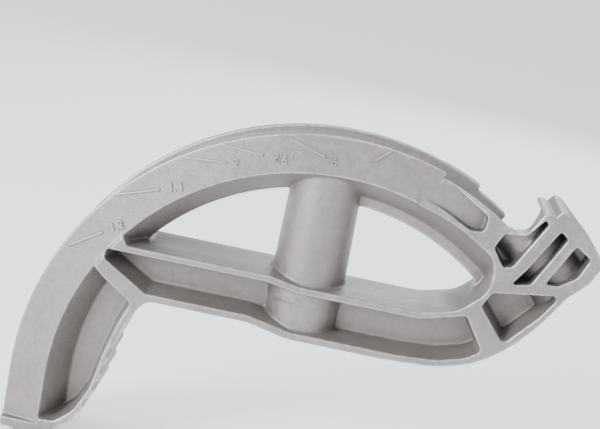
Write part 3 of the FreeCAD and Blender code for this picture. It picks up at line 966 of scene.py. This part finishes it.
@dataclass
class ScaleMarks:
    """The raised lines and numbers of the bending scale on the arc's near face.

    Attributes:
        skin: the search tree of the casting's skin.
        lines: the lines and their numbers.
        relief: how high they stand, in metres.
        line_width: width of a line.
        line_cuts: how many cuts let a line follow the face.
        line_rounding: width of its rounded edges, as a share of its width.
        number_height: height of a number.
        number_weight: how much wider than the plain font its strokes are, on each side.
        number_curves: steps in each curve of a number.
    """

    skin: BVHTree
    lines: tuple[SightLine, ...] = (
        SightLine((-0.133, 0.026), (-0.115, 0.038), "1.2", (-0.108, 0.043), 30.0),
        SightLine((-0.111, 0.060), (-0.088, 0.068), "1.4", (-0.080, 0.071), 15.0),
        SightLine((-0.078, 0.088), (-0.055, 0.090), "2", (-0.050, 0.0905), 4.0),
        SightLine((-0.059, 0.099), (-0.036, 0.098), "2.6", (-0.027, 0.098), -3.0),
        SightLine((-0.025, 0.110), (-0.003, 0.104), "6", (0.002, 0.1025), -8.0),
        SightLine((0.0310, 0.1140), (0.0235, 0.1075), "", (0.0, 0.0), 0.0),
    )
    relief: float = 0.0008
    line_width: float = 0.0014
    line_cuts: int = 14
    line_rounding: float = 0.35
    number_height: float = 0.0068
    number_weight: float = 0.0001
    number_curves: int = 4

    def build(self, finishes: Finishes) -> None:
        """Builds every line and number.

        Args:
            finishes: the finishes to dress with.
        """
        for line in self.lines:
            label = line.number.replace(".", "_") or "notch"
            ridge = self.ridge(line.start, line.end)
            piece = new_piece("sight_line_" + label, ridge)
            finishes.dress(piece, Surface.SAND_CAST)
            keep(piece)
            if line.number:
                number = self.number(line, label)
                finishes.dress(number, Surface.SAND_CAST)
                keep(number)

    def ridge(self, start: Corner, end: Corner) -> bmesh.types.BMesh:
        """A low rounded ridge between two points of the near face.

        Args:
            start: one end, as x and z.
            end: the other end.

        Returns:
            The ridge, laid on the face.
        """
        first = Vector((start[0], 0.0, start[1]))
        last = Vector((end[0], 0.0, end[1]))
        run = last - first
        shape = bmesh.new()
        bmesh.ops.create_cube(shape, size=1.0)
        size = (run.length, 2.0 * self.relief, self.line_width)
        bmesh.ops.scale(shape, verts=shape.verts, vec=size)
        along = [edge for edge in shape.edges if edge.calc_length() > 0.5 * run.length]
        bmesh.ops.subdivide_edges(shape, edges=along, cuts=self.line_cuts, use_grid_fill=True)
        crown = [edge for edge in shape.edges if self.is_crown(edge)]
        bmesh.ops.bevel(
            shape,
            geom=crown,
            offset=self.line_rounding * self.line_width,
            segments=2,
            profile=0.5,
            affect="EDGES",
            material=-1,
        )
        turn = Matrix.Rotation(-math.atan2(run.z, run.x), 4, "Y")
        bmesh.ops.transform(
            shape, matrix=Matrix.Translation(0.5 * (first + last)) @ turn, verts=shape.verts
        )
        lay_on(self.skin, shape)
        return shape

    def is_crown(self, edge: bmesh.types.BMEdge) -> bool:
        """Whether an edge of a ridge is a sharp one over the face."""
        raised = all(vertex.co.y < 0.0 for vertex in edge.verts)
        return raised and len(edge.link_faces) == 2 and edge.calc_face_angle(0.0) > 1.0

    def number(self, line: SightLine, label: str) -> bpy.types.Object:
        """A raised number beside a line's inner end.

        Args:
            line: the line it belongs to.
            label: the number in a form that suits a name.

        Returns:
            The number's piece, laid on the face.
        """
        text = bpy.data.curves.new("number_" + label, "FONT")
        text.body = line.number
        text.size = self.number_height
        text.align_x = "CENTER"
        text.align_y = "CENTER"
        text.extrude = self.relief
        text.offset = self.number_weight
        text.resolution_u = self.number_curves
        flat = finished("flat_number", placed("carrier", text))
        shape = bmesh.new()
        shape.from_mesh(flat.data)
        bpy.data.meshes.remove(flat.data)
        bmesh.ops.remove_doubles(shape, verts=shape.verts, dist=WELD)
        upright = Matrix.Rotation(math.radians(90.0), 4, "X")
        turn = Matrix.Rotation(-math.radians(line.turn), 4, "Y")
        place = Matrix.Translation((line.number_at[0], 0.0, line.number_at[1]))
        bmesh.ops.transform(shape, matrix=place @ turn @ upright, verts=shape.verts)
        bmesh.ops.recalc_face_normals(shape, faces=shape.faces)
        lay_on(self.skin, shape)
        number = new_piece("number_" + label, shape)
        number.data.shade_flat()
        return number


@dataclass
class LocatorDiscs:
    """The small raised rings that the mould's pins leave.

    Attributes:
        skin: the search tree of the casting's skin.
        places: the rings' middles, as x and z.
        radius: radius of a ring.
        thickness: radius of its round section.
        sides: faces around the section.
        steps: faces around the ring.
    """

    skin: BVHTree
    places: tuple[Corner, ...] = ((-0.018, 0.101), (-0.004, 0.019))
    radius: float = 0.0031
    thickness: float = 0.0004
    sides: int = 10
    steps: int = 40

    def build(self, finishes: Finishes) -> None:
        """Builds each ring where it lies on the skin.

        Args:
            finishes: the finishes to dress with.
        """
        for number, (x, z) in enumerate(self.places, 1):
            shape = bmesh.new()
            bmesh.ops.create_circle(
                shape, cap_ends=False, segments=self.sides, radius=self.thickness
            )
            bmesh.ops.translate(shape, verts=shape.verts, vec=(self.radius, 0.0, 0.0))
            bmesh.ops.spin(
                shape,
                geom=shape.verts[:] + shape.edges[:],
                cent=(0.0, 0.0, 0.0),
                axis=(0.0, 1.0, 0.0),
                angle=math.tau,
                steps=self.steps,
                use_merge=True,
            )
            bmesh.ops.remove_doubles(shape, verts=shape.verts, dist=WELD)
            bmesh.ops.recalc_face_normals(shape, faces=shape.faces)
            bmesh.ops.translate(shape, verts=shape.verts, vec=(x, 0.0, z))
            lay_on(self.skin, shape)
            piece = new_piece(f"locator_ring_{number}", shape)
            finishes.dress(piece, Surface.SAND_CAST)
            keep(piece)


@dataclass
class SocketThread:
    """The pipe thread cut in the handle socket.

    Attributes:
        radius: radius of the plain bore.
        pitch: rise of the thread in one turn.
        turns: number of turns.
        depth: how far a crest's three corners lie from its middle.
        sunk: how far that middle lies behind the bore's wall, as a share of the depth.
        start: height of the first turn over the socket's mouth.
        steps: faces around one turn.
    """

    radius: float
    pitch: float = 0.0022
    turns: int = 14
    depth: float = 0.0011
    sunk: float = 0.25
    start: float = 0.0016
    steps: int = 64

    def build(self, finishes: Finishes) -> None:
        """Builds the thread as one helical ridge.

        Args:
            finishes: the finishes to dress with.
        """
        shape = bmesh.new()
        bmesh.ops.create_circle(shape, cap_ends=False, segments=3, radius=self.depth)
        bmesh.ops.rotate(
            shape,
            verts=shape.verts,
            cent=(0.0, 0.0, 0.0),
            matrix=Matrix.Rotation(math.radians(90.0), 3, "X"),
        )
        lean = Matrix.Rotation(math.radians(-90.0), 3, "Y")
        bmesh.ops.rotate(shape, verts=shape.verts, cent=(0.0, 0.0, 0.0), matrix=lean)
        outer = self.radius + self.sunk * self.depth
        bmesh.ops.translate(shape, verts=shape.verts, vec=(outer, 0.0, self.start))
        bmesh.ops.spin(
            shape,
            geom=shape.verts[:] + shape.edges[:],
            cent=(0.0, 0.0, 0.0),
            axis=(0.0, 0.0, 1.0),
            dvec=(0.0, 0.0, self.pitch / self.steps),
            angle=math.tau * self.turns,
            steps=self.steps * self.turns,
        )
        ends = [edge for edge in shape.edges if edge.is_boundary]
        bmesh.ops.holes_fill(shape, edges=ends, sides=0)
        bmesh.ops.recalc_face_normals(shape, faces=shape.faces)
        piece = new_piece("socket_thread", shape)
        piece.data.shade_flat()
        finishes.dress(piece, Surface.THREAD_CUT)
        keep(piece)


@dataclass(frozen=True)
class SoftLight:
    """A square soft light that faces the object.

    Attributes:
        name: the light's name.
        at: where it hangs, in metres.
        side: its side.
        power: its power in watts.
    """

    name: str
    at: tuple[float, float, float]
    side: float
    power: float


@dataclass
class Studio:
    """The pale floor, the soft lights and the camera.

    Attributes:
        low: lowest corner of the object's box.
        high: highest corner.
        lights: the soft lights.
        sky: strength of the white sky.
        floor_reach: radius of the floor.
        floor_gap: how far the floor lies under the object.
        floor_grey: its colour.
        floor_rough: its roughness.
        floor_glow: how much light it gives of its own.
        lens: the camera's focal length, in mm.
        sensor: width of its sensor, in mm.
        reach: nearest and furthest distance that it shows.
        camera_at: where it stands.
        right: its right-hand direction.
        down: its downward direction.
        forward: where it looks.
    """

    low: Vector
    high: Vector
    lights: tuple[SoftLight, ...] = (
        SoftLight("key_light", at=(-1.05, -1.05, 0.60), side=0.55, power=40.0),
        SoftLight("top_light", at=(-0.10, 0.10, 1.40), side=0.7, power=9.0),
        SoftLight("fill_light", at=(0.8, -1.4, 0.50), side=0.9, power=3.0),
        SoftLight("back_light", at=(0.3, 1.4, 0.7), side=0.9, power=9.0),
    )
    sky: float = 0.8
    floor_reach: float = 14.0
    floor_gap: float = 0.0004
    floor_grey: float = 0.93
    floor_rough: float = 0.9
    floor_glow: float = 0.65
    lens: float = 88.05
    sensor: float = 36.0
    reach: tuple[float, float] = (0.01, 60.0)
    camera_at: tuple[float, float, float] = (0.01203, -0.7969, 0.2473)
    right: tuple[float, float, float] = (0.9788, 0.0725, 0.1916)
    down: tuple[float, float, float] = (0.2028, -0.2124, -0.9559)
    forward: tuple[float, float, float] = (-0.0286, 0.9745, -0.2226)

    def build(self) -> None:
        """Sets up the floor, the lights, the sky and the camera."""
        self.lay_floor()
        for soft in self.lights:
            self.hang(soft)
        self.light_sky()
        self.place_camera()
        LOG.info("studio: floor, %d lights, sky and camera", len(self.lights))

    def lay_floor(self) -> None:
        """Lays a pale matt floor under the object."""
        shape = bmesh.new()
        bmesh.ops.create_circle(shape, cap_ends=True, segments=96, radius=self.floor_reach)
        level = self.low.z - self.floor_gap
        bmesh.ops.translate(shape, verts=shape.verts, vec=(0.0, 0.0, level))
        ground = new_piece("studio_floor", shape)
        paper = bpy.data.materials.new("studio_paper")
        tree = ShaderTree(paper)
        tree.settle("Base Color", (self.floor_grey,) * 3)
        tree.settle("Roughness", self.floor_rough)
        tree.settle("Emission Color", (1.0, 1.0, 1.0))
        tree.settle("Emission Strength", self.floor_glow)
        ground.data.materials.append(paper)
        ground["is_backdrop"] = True

    def hang(self, soft: SoftLight) -> None:
        """Hangs one soft light, turned to the middle of the object.

        Args:
            soft: the light.
        """
        data = bpy.data.lights.new(soft.name, "AREA")
        data.shape = "SQUARE"
        data.size = soft.side
        data.energy = soft.power
        light = placed(soft.name, data)
        away = Vector(soft.at) - 0.5 * (self.low + self.high)
        light.location = soft.at
        light.rotation_euler = away.to_track_quat("Z", "Y").to_euler()

    def light_sky(self) -> None:
        """Sets an even white sky."""
        world = bpy.data.worlds.new("studio_sky")
        world.use_nodes = True
        background = world.node_tree.nodes["Background"]
        background.inputs["Color"].default_value = (1.0, 1.0, 1.0, 1.0)
        background.inputs["Strength"].default_value = self.sky
        bpy.context.scene.world = world

    def place_camera(self) -> None:
        """Places the camera in front of the arc's near face, a little above it."""
        data = bpy.data.cameras.new("camera")
        data.lens = self.lens
        data.sensor_width = self.sensor
        data.clip_start, data.clip_end = self.reach
        back = -Vector(self.forward)
        turn = Matrix((self.right, -Vector(self.down), back)).transposed().to_4x4()
        camera = placed("camera", data)
        camera.matrix_world = Matrix.Translation(self.camera_at) @ turn
        bpy.context.scene.camera = camera


def main() -> None:
    """Builds the dressed bender head over its frame, and its studio."""
    logging.basicConfig(level=logging.INFO, format="%(message)s")
    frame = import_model()
    cad_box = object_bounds()
    finishes = Finishes()
    low, high = (Vector(corner) for corner in cad_box)
    mounts = {mount["name"]: mount for mount in frame["record"]["mounts"]}
    skin = CastHead(frame["nodes"]).build(finishes)
    ScaleMarks(skin).build(finishes)
    LocatorDiscs(skin).build(finishes)
    SocketThread(radius=MM * mounts["handle_socket"]["dims"]["r_mm"]).build(finishes)
    Studio(low, high).build()


if __name__ == "__main__":
    main()
